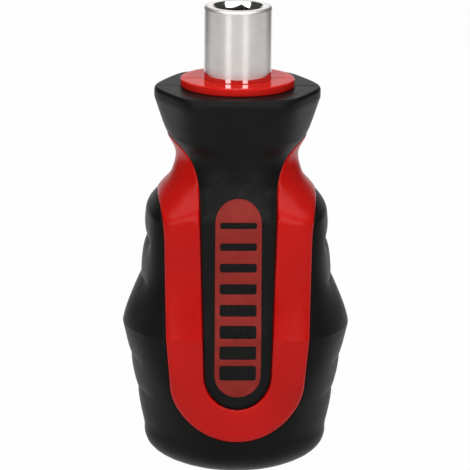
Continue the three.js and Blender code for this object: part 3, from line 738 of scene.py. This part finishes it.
def badge_piece(name, back):
    """Ladder-shaped inlay with rounded edges."""
    low = BADGE_BOTTOM_Z + BADGE_HALF
    high = BADGE_TOP_Z - BADGE_HALF
    turn = np.linspace(0, math.pi / 2, 5)
    edge = [(0.0, -BADGE_SINK)]
    edge += [(BADGE_ROUND * (1 - math.cos(t)), BADGE_PROUD - BADGE_ROUND * (1 - math.sin(t))) for t in turn]
    points = []
    faces = []
    rims = []
    feet = []
    outlines = [lambda inset: obround(BADGE_HALF - inset, low, high)]
    for i in range(SLOT_COUNT):
        outlines.append(lambda inset, i=i: badge_slots(inset)[i][0])
    for outline in outlines:
        count = len(outline(0))
        starts = []
        for inset, lift in edge:
            starts.append(len(points))
            points += list(on_front(outline(inset), lift))
        for a, b in zip(starts, starts[1:]):
            faces += ring_faces(a, b, count)
        rims.append((starts[-1], outline(BADGE_ROUND)))
        feet.append((starts[0], outline(0)))
    for loops, lift in ((rims, BADGE_PROUD), (feet, -BADGE_SINK)):
        flat = np.concatenate([loop for _, loop in loops])
        owner = np.concatenate([np.arange(start, start + len(loop)) for start, loop in loops])
        bounds = []
        offset = 0
        for _, loop in loops:
            bounds += [(offset + j, offset + (j + 1) % len(loop)) for j in range(len(loop))]
            offset += len(loop)
        grow = BADGE_ROUND if lift > 0 else 0.0
        slots = badge_slots(grow)

        def within(x, z, margin):
            over = max(low - z, z - high, 0)
            if math.hypot(x, over) > BADGE_HALF - grow - margin:
                return False
            return not any(
                abs(x) < half_width + margin and abs(z - middle) < half + margin
                for _, half_width, middle, half in slots
            )

        fill = []
        if lift > 0:
            for z in np.arange(BADGE_BOTTOM_Z, BADGE_TOP_Z, BADGE_GRID):
                across = np.arange(-BADGE_FILL_HALF, BADGE_FILL_HALF + 0.01, BADGE_GRID)
                fill += [(x, z) for x in across if within(x, z, BADGE_GRID / 4)]
            across = np.arange(-BADGE_CREASE_HALF, BADGE_CREASE_HALF + 0.01, BADGE_GRID / 3)
            crease = [(x, RIDGE_Z) for x in across if within(x, RIDGE_Z, BADGE_CREASE_MARGIN)]
            first = len(flat) + len(fill)
            bounds += [(first + j, first + j + 1) for j in range(len(crease) - 1)]
            fill += crease
        everything = np.concatenate([flat, np.array(fill).reshape(-1, 2)])
        result = delaunay_2d_cdt([Vector(p) for p in everything], bounds, [], 0, 1e-6)
        fill_start = len(points)
        points += list(on_front(np.array(fill).reshape(-1, 2), lift)) if fill else []
        index = list(owner) + list(range(fill_start, len(points)))
        slot_rings = [slot[0] for slot in slots]
        for triangle in result[2]:
            corner = [index[result[3][v][0]] for v in triangle]
            middle = np.mean([np.array(result[0][v]) for v in triangle], axis=0)
            if inside_loop(middle, flat[:len(loops[0][1])]) and not any(
                inside_loop(middle, ring) for ring in slot_rings
            ):
                faces.append(corner)
    points = np.array(points)
    if back:
        points[:, :2] *= -1
    return make_piece(name, points, faces)


def inside_loop(point, loop):
    """Whether a flat point lies within a closed outline."""
    x, z = point
    after = np.roll(loop, -1, axis=0)
    spans = (loop[:, 1] > z) != (after[:, 1] > z)
    rise = np.where(spans, after[:, 1] - loop[:, 1], 1)
    cross = loop[:, 0] + (z - loop[:, 1]) / rise * (after[:, 0] - loop[:, 0])
    return bool(np.count_nonzero(spans & (x < cross)) % 2)


# Materials
GRAIN_FADE_Z = (51, 58)
MIRROR_FADE_Z = (64.7, 65.2)


def new_material(name):
    material = bpy.data.materials.new(name)
    material.use_nodes = True
    nodes = material.node_tree.nodes
    shader = nodes["Principled BSDF"]
    place = nodes.new("ShaderNodeTexCoord").outputs["Object"]
    return material, nodes, material.node_tree.links, shader, place


def noise(nodes, links, place, per_mm, detail=3.0, stretch=(1, 1, 1)):
    """Noise whose features are about one over per_mm millimetres across."""
    mapping = nodes.new("ShaderNodeMapping")
    mapping.inputs["Scale"].default_value = [per_mm / MM * s for s in stretch]
    texture = nodes.new("ShaderNodeTexNoise")
    texture.inputs["Scale"].default_value = 1.0
    texture.inputs["Detail"].default_value = detail
    links.new(place, mapping.inputs["Vector"])
    links.new(mapping.outputs["Vector"], texture.inputs["Vector"])
    return texture.outputs["Fac"]


def ramp(nodes, links, value, stops):
    """Colour or grey ramp over a value."""
    node = nodes.new("ShaderNodeValToRGB")
    elements = node.color_ramp.elements
    while len(elements) < len(stops):
        elements.new(0.5)
    for element, (position, colour) in zip(elements, stops):
        element.position = position
        element.color = (*colour, 1) if isinstance(colour, tuple) else (colour, colour, colour, 1)
    links.new(value, node.inputs["Fac"])
    return node.outputs["Color"]


def bump(nodes, links, height, strength, distance_mm, normal=None):
    node = nodes.new("ShaderNodeBump")
    node.inputs["Strength"].default_value = strength
    node.inputs["Distance"].default_value = distance_mm * MM
    links.new(height, node.inputs["Height"])
    if normal is not None:
        links.new(normal, node.inputs["Normal"])
    return node.outputs["Normal"]


def mix_colour(nodes, links, factor, first, second, mode="MIX"):
    node = nodes.new("ShaderNodeMix")
    node.data_type = "RGBA"
    node.blend_type = mode
    for socket, value in zip((node.inputs[0], node.inputs[6], node.inputs[7]), (factor, first, second)):
        if isinstance(value, bpy.types.NodeSocket):
            links.new(value, socket)
        else:
            socket.default_value = value if isinstance(value, float) else (*value, 1)
    return node.outputs[2]


def linear(red, green, blue):
    """Linear colour from 8-bit display values."""
    return tuple(
        c / 255 / 12.92 if c <= 10 else ((c / 255 + 0.055) / 1.055) ** 2.4 for c in (red, green, blue)
    )


def seam_value(nodes):
    node = nodes.new("ShaderNodeAttribute")
    node.attribute_name = "seam"
    return node.outputs["Fac"]


def fade(nodes, links, value, span, ends, kind="LINEAR"):
    """Value that goes from one end to the other across a span."""
    node = nodes.new("ShaderNodeMapRange")
    node.interpolation_type = kind
    for name, number in zip(("From Min", "From Max", "To Min", "To Max"), (*span, *ends)):
        node.inputs[name].default_value = number
    links.new(value, node.inputs["Value"])
    return node.outputs["Result"]


def height_fade(nodes, links, place, heights_mm, ends):
    """Value that changes between two heights of the piece."""
    split = nodes.new("ShaderNodeSeparateXYZ")
    links.new(place, split.inputs[0])
    return fade(nodes, links, split.outputs["Z"], [z * MM for z in heights_mm], ends)


def glossy_red():
    """Collar."""
    material, nodes, links, shader, place = new_material("red_plastic_polished")
    broad = noise(nodes, links, place, 0.12, 4)
    colour = ramp(nodes, links, broad, [(0.3, linear(200, 28, 22)), (0.7, linear(211, 33, 26))])
    links.new(colour, shader.inputs["Base Color"])
    fine = noise(nodes, links, place, 1.5, 4)
    links.new(ramp(nodes, links, fine, [(0.35, 0.05), (0.75, 0.10)]), shader.inputs["Roughness"])
    links.new(bump(nodes, links, noise(nodes, links, place, 0.8, 2), 0.02, 0.04), shader.inputs["Normal"])
    shader.inputs["Specular IOR Level"].default_value = 0.04
    return material


def red_plastic():
    """Bands and neck, darker along the seams by painted shade, and smoother there."""
    material, nodes, links, shader, place = new_material("red_plastic_moulded")
    broad = noise(nodes, links, place, 0.12, 4)
    fine = noise(nodes, links, place, 3.0, 4)
    colour = ramp(nodes, links, broad, [(0.3, linear(182, 17, 13)), (0.7, linear(194, 22, 17))])
    # Painted shade: the base colour darkens towards the seams, where the neighbouring pieces shade the
    # bands.
    seam_shade = ramp(nodes, links, seam_value(nodes), [(0.0, linear(110, 12, 10)), (0.12, (1.0, 1.0, 1.0))])
    colour = mix_colour(nodes, links, 1.0, colour, seam_shade, "MULTIPLY")
    links.new(colour, shader.inputs["Base Color"])
    rough = ramp(nodes, links, fine, [(0.3, 0.24), (0.7, 0.36)])
    edge = ramp(nodes, links, seam_value(nodes), [(0.0, 0.6), (0.3, 0.6), (0.6, 1.0)])
    links.new(mix_colour(nodes, links, 1.0, rough, edge, "MULTIPLY"), shader.inputs["Roughness"])
    normal = bump(nodes, links, noise(nodes, links, place, 0.35, 2), 0.08, 0.25)
    normal = bump(nodes, links, noise(nodes, links, place, 6.0, 2), 0.35, 0.03, normal)
    links.new(normal, shader.inputs["Normal"])
    shader.inputs["Specular IOR Level"].default_value = 0.13
    return material


def black_rubber(name, grain_strength, gloss, glints):
    """Soft black shot; its grain is strongest on the tongues and fades towards the guard."""
    material, nodes, links, shader, place = new_material(name)
    broad = noise(nodes, links, place, 0.15, 4)
    colour = ramp(nodes, links, broad, [(0.3, linear(17, 17, 17)), (0.7, linear(22, 22, 21))])
    links.new(colour, shader.inputs["Base Color"])
    grain = noise(nodes, links, place, 4.0, 3)
    rough = ramp(nodes, links, grain, [(0.3, 0.32), (0.7, 0.5)])
    grained = height_fade(nodes, links, place, GRAIN_FADE_Z, (1.0, 0.1))
    if glints:
        specks = ramp(nodes, links, noise(nodes, links, place, 2.0, 2), [(0.58, 1.0), (0.66, 0.35)])
        specked = mix_colour(nodes, links, 1.0, rough, specks, "MULTIPLY")
        rough = mix_colour(nodes, links, grained, rough, specked)
    links.new(rough, shader.inputs["Roughness"])
    relief = mix_colour(nodes, links, 1.0, grain, grained, "MULTIPLY")
    links.new(bump(nodes, links, relief, grain_strength, 0.08), shader.inputs["Normal"])
    shader.inputs["Specular IOR Level"].default_value = gloss
    return material


def badge_red():
    material, nodes, links, shader, place = new_material("badge_red_dull")
    broad = noise(nodes, links, place, 0.3, 4)
    colour = ramp(nodes, links, broad, [(0.3, linear(131, 36, 30)), (0.7, linear(145, 43, 36))])
    links.new(colour, shader.inputs["Base Color"])
    grain = noise(nodes, links, place, 5.0, 3)
    links.new(ramp(nodes, links, grain, [(0.3, 0.5), (0.7, 0.68)]), shader.inputs["Roughness"])
    links.new(bump(nodes, links, grain, 0.25, 0.04), shader.inputs["Normal"])
    shader.inputs["Specular IOR Level"].default_value = 0.14
    return material


def steel(name, colour_low, colour_high, rough_low, rough_high, turned_finish):
    """Bare metal; a turned finish has streaks round the axis and a polished foot."""
    material, nodes, links, shader, place = new_material(name)
    lines = noise(nodes, links, place, 1.0, 3, stretch=(0.2, 0.2, 9))
    patches = noise(nodes, links, place, 0.5, 3)
    colour = ramp(nodes, links, patches, [(0.3, colour_low), (0.7, colour_high)])
    links.new(colour, shader.inputs["Base Color"])
    rough = ramp(nodes, links, lines, [(0.3, rough_low), (0.7, rough_high)])
    if turned_finish:
        polish = height_fade(nodes, links, place, MIRROR_FADE_Z, (0.2, 1.0))
        rough = mix_colour(nodes, links, 1.0, rough, polish, "MULTIPLY")
    links.new(rough, shader.inputs["Roughness"])
    links.new(bump(nodes, links, lines, 0.02, 0.015), shader.inputs["Normal"])
    shader.inputs["Metallic"].default_value = 1.0
    if turned_finish:
        shader.inputs["Anisotropic"].default_value = 0.75
        shader.inputs["Anisotropic Rotation"].default_value = 0.25
        tangent = nodes.new("ShaderNodeTangent")
        tangent.direction_type = "RADIAL"
        tangent.axis = "Z"
        links.new(tangent.outputs[0], shader.inputs["Tangent"])
    return material


def core_plastic():
    material, nodes, links, shader, place = new_material("core_plastic_moulded")
    broad = noise(nodes, links, place, 0.3, 3)
    colour = ramp(nodes, links, broad, [(0.3, linear(56, 56, 59)), (0.7, linear(66, 66, 70))])
    links.new(colour, shader.inputs["Base Color"])
    grain = noise(nodes, links, place, 4.0, 3)
    links.new(ramp(nodes, links, grain, [(0.3, 0.45), (0.7, 0.6)]), shader.inputs["Roughness"])
    links.new(bump(nodes, links, grain, 0.2, 0.03), shader.inputs["Normal"])
    return material


RED = red_plastic()
GLOSSY_RED = glossy_red()
GUARD_BLACK = black_rubber("guard_grip_grained", 0.6, 0.088, True)
PALM_BLACK = black_rubber("palm_grip_smooth", 0.15, 0.056, False)
DULL_RED = badge_red()
STEEL = steel("satin_steel_turned", linear(230, 225, 222), linear(235, 231, 228), 0.23, 0.27, True)
BRIGHT_STEEL = steel("bright_steel_cut", linear(228, 224, 221), linear(236, 232, 229), 0.05, 0.13, False)
EDGE_STEEL = steel("satin_steel_edge", linear(230, 225, 222), linear(235, 231, 228), 0.42, 0.52, False)
WIRE = steel("spring_steel_drawn", linear(185, 186, 188), linear(198, 199, 201), 0.25, 0.35, False)
NICKEL = steel("magnet_nickel_plated", linear(205, 203, 197), linear(215, 213, 207), 0.18, 0.26, False)
CORE = core_plastic()


def place_piece(piece, node, material):
    piece.data.materials.append(material)
    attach(piece, "root")
    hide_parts(node)


# The sleeve's bore and its rounded rim have steels of their own.
BRIGHT = 1
EDGE = 2
EDGE_MARGIN = 0.1
sleeve = sleeve_piece()
place_piece(sleeve, "bit_holder_sleeve", STEEL)
sleeve.data.materials.append(BRIGHT_STEEL)
sleeve.data.materials.append(EDGE_STEEL)
for face in sleeve.data.polygons:
    inset = SLEEVE_RADIUS - math.hypot(face.center.x, face.center.y) / MM
    if face.center.z > BOSS_TOP_Z * MM and inset > SLEEVE_CHAMFER + EDGE_MARGIN:
        face.material_index = BRIGHT
    elif face.center.z > (RIM_Z - SLEEVE_CHAMFER - EDGE_MARGIN) * MM:
        face.material_index = EDGE
place_piece(ring_piece(), "bit_retaining_ring", WIRE)
place_piece(magnet_piece(), "socket_magnet", NICKEL)
red_body = red_piece()
place_piece(red_body, "red_body", RED)
red_body.data.materials.append(GLOSSY_RED)
for face in red_body.data.polygons:
    face.material_index = int(face.center.z > (SPIGOT_BOTTOM_Z - EDGE_MARGIN) * MM)
place_piece(guard_piece(), "guard_grip", GUARD_BLACK)
place_piece(palm_piece(), "palm_grip", PALM_BLACK)
place_piece(badge_piece("front_badge_ladder", False), "front_badge", DULL_RED)
place_piece(badge_piece("rear_badge_ladder", True), "rear_badge", DULL_RED)
for node, material in (("drive_shank", STEEL), ("inner_core", CORE)):
    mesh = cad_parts[node].data
    mesh.materials.clear()
    mesh.materials.append(material)


# Camera
VIEW_ELEVATION = math.radians(13.5)
VIEW_AZIMUTH = math.radians(-1.7)
VIEW_ROLL = math.radians(0.5)
VIEW_DISTANCE = 900.0
PIXELS = 470
PIXELS_PER_MM = 6.13
TARGET_PIXEL = (236.22, 234.23)
TARGET = Vector((0, 0, 38))
SENSOR = 36.0
CLIP_START = 0.05


def add_camera():
    towards_eye = Vector((
        math.sin(VIEW_AZIMUTH) * math.cos(VIEW_ELEVATION),
        -math.cos(VIEW_AZIMUTH) * math.cos(VIEW_ELEVATION),
        math.sin(VIEW_ELEVATION),
    ))
    level = Vector((0, 0, 1)).cross(towards_eye).normalized()
    above = towards_eye.cross(level)
    right = level * math.cos(VIEW_ROLL) + above * math.sin(VIEW_ROLL)
    up = above * math.cos(VIEW_ROLL) - level * math.sin(VIEW_ROLL)
    middle = PIXELS / 2
    aim = TARGET + right * ((middle - TARGET_PIXEL[0]) / PIXELS_PER_MM)
    aim += up * ((TARGET_PIXEL[1] - middle) / PIXELS_PER_MM)
    eye = (aim + towards_eye * VIEW_DISTANCE) * MM
    data = bpy.data.cameras.new("camera")
    data.sensor_width = SENSOR
    data.lens = SENSOR * VIEW_DISTANCE * PIXELS_PER_MM / PIXELS
    data.clip_start = CLIP_START
    camera = bpy.data.objects.new("camera", data)
    camera.matrix_world = Matrix((
        (right.x, up.x, towards_eye.x, eye.x),
        (right.y, up.y, towards_eye.y, eye.y),
        (right.z, up.z, towards_eye.z, eye.z),
        (0, 0, 0, 1),
    ))
    bpy.context.scene.collection.objects.link(camera)
    bpy.context.scene.camera = camera


# Stage and light
FLOOR_GLOW = 0.98
FLOOR_GREY = 0.65
FLOOR_ROUGHNESS = 0.7
FLOOR_DROP = 0.0002
TABLE_OUTLINE = [(0.45, -0.65), (0.45, 0.06), (0.2, 0.22), (0.2, 1.1)]
ROOM_LIGHT = 0.06
BACK_LIGHT = 0.55
BACK_LIGHT_FROM = (0.88, 0.97)
BACK_LIGHT_UP_TO = (0.25, 0.6)
LAMP_DISTANCE = 0.7


def combine(nodes, links, operation, *values):
    """Result of a sum on sockets and plain numbers."""
    node = nodes.new("ShaderNodeMath")
    node.operation = operation
    for socket, value in zip(node.inputs, values):
        if isinstance(value, bpy.types.NodeSocket):
            links.new(value, socket)
        else:
            socket.default_value = value
    return node.outputs[0]


def seen_directly(nodes, links, share):
    """Share for rays from the camera and from gloss and glass, and none for the light on the object."""
    path = nodes.new("ShaderNodeLightPath")
    either = path.outputs["Is Camera Ray"]
    for kind in ("Is Glossy Ray", "Is Transmission Ray"):
        either = combine(nodes, links, "MAXIMUM", either, path.outputs[kind])
    return combine(nodes, links, "MULTIPLY", either, share)


def add_floor():
    outline = TABLE_OUTLINE + [(-x, y) for x, y in reversed(TABLE_OUTLINE)]
    mesh = bpy.data.meshes.new("floor")
    mesh.from_pydata([(x, y, 0) for x, y in outline], [], [list(range(len(outline)))])
    floor = bpy.data.objects.new("floor", mesh)
    floor.location.z = -FLOOR_DROP
    bpy.context.scene.collection.objects.link(floor)
    material = bpy.data.materials.new("floor_white")
    material.use_nodes = True
    nodes = material.node_tree.nodes
    links = material.node_tree.links
    shader = nodes["Principled BSDF"]
    shader.inputs["Base Color"].default_value = (FLOOR_GREY, FLOOR_GREY, FLOOR_GREY, 1)
    shader.inputs["Roughness"].default_value = FLOOR_ROUGHNESS
    glow = nodes.new("ShaderNodeEmission")
    glow.inputs["Strength"].default_value = 1.0
    mixed = nodes.new("ShaderNodeMixShader")
    links.new(seen_directly(nodes, links, FLOOR_GLOW), mixed.inputs[0])
    links.new(shader.outputs[0], mixed.inputs[1])
    links.new(glow.outputs[0], mixed.inputs[2])
    links.new(mixed.outputs[0], nodes["Material Output"].inputs["Surface"])
    mesh.materials.append(material)


def add_world():
    """Dim room with a white end behind the handle, which metal shows; the camera sees white all round."""
    world = bpy.data.worlds.new("world")
    bpy.context.scene.world = world
    world.use_nodes = True
    nodes = world.node_tree.nodes
    links = world.node_tree.links
    lit = nodes["Background"]
    lit.inputs["Color"].default_value = (1, 1, 1, 1)
    where = nodes.new("ShaderNodeTexCoord")
    split = nodes.new("ShaderNodeSeparateXYZ")
    links.new(where.outputs["Generated"], split.inputs[0])
    far = fade(nodes, links, split.outputs["Y"], BACK_LIGHT_FROM, (0.0, 1.0), "SMOOTHSTEP")
    low = fade(nodes, links, split.outputs["Z"], BACK_LIGHT_UP_TO, (1.0, 0.0), "SMOOTHSTEP")
    behind = combine(nodes, links, "MULTIPLY", far, low)
    strength = combine(nodes, links, "MULTIPLY_ADD", behind, BACK_LIGHT, ROOM_LIGHT)
    links.new(strength, lit.inputs["Strength"])
    seen = nodes.new("ShaderNodeBackground")
    seen.inputs["Color"].default_value = (1, 1, 1, 1)
    seen.inputs["Strength"].default_value = 1.0
    shown = combine(nodes, links, "MULTIPLY", seen_directly(nodes, links, 1.0), behind)
    path = nodes.new("ShaderNodeLightPath")
    white = combine(nodes, links, "MAXIMUM", shown, path.outputs["Is Camera Ray"])
    mixed = nodes.new("ShaderNodeMixShader")
    links.new(white, mixed.inputs[0])
    links.new(lit.outputs[0], mixed.inputs[1])
    links.new(seen.outputs[0], mixed.inputs[2])
    links.new(mixed.outputs[0], nodes["World Output"].inputs["Surface"])


def add_soft_box(name, azimuth_deg, elevation_deg, width, height, watts):
    """Soft box that faces the handle."""
    azimuth = math.radians(azimuth_deg)
    elevation = math.radians(elevation_deg)
    away = Vector((
        math.sin(azimuth) * math.cos(elevation),
        -math.cos(azimuth) * math.cos(elevation),
        math.sin(elevation),
    ))
    data = bpy.data.lights.new(name, "AREA")
    data.shape = "RECTANGLE"
    data.size = width
    data.size_y = height
    data.energy = watts
    lamp = bpy.data.objects.new(name, data)
    lamp.location = TARGET * MM + away * LAMP_DISTANCE
    lamp.rotation_euler = away.to_track_quat("Z", "Y").to_euler()
    bpy.context.scene.collection.objects.link(lamp)


add_camera()
add_floor()
add_world()
add_soft_box("soft_box_left", azimuth_deg=-34, elevation_deg=18, width=0.21, height=0.26, watts=0.87)
add_soft_box("soft_box_right", azimuth_deg=24.5, elevation_deg=18, width=0.21, height=0.26, watts=0.78)
add_soft_box("soft_box_front", azimuth_deg=-2, elevation_deg=34, width=0.40, height=0.16, watts=1.15)
add_soft_box("soft_box_above", azimuth_deg=0, elevation_deg=79, width=1.1, height=0.60, watts=5.2)
bpy.context.scene.view_settings.view_transform = "Standard"
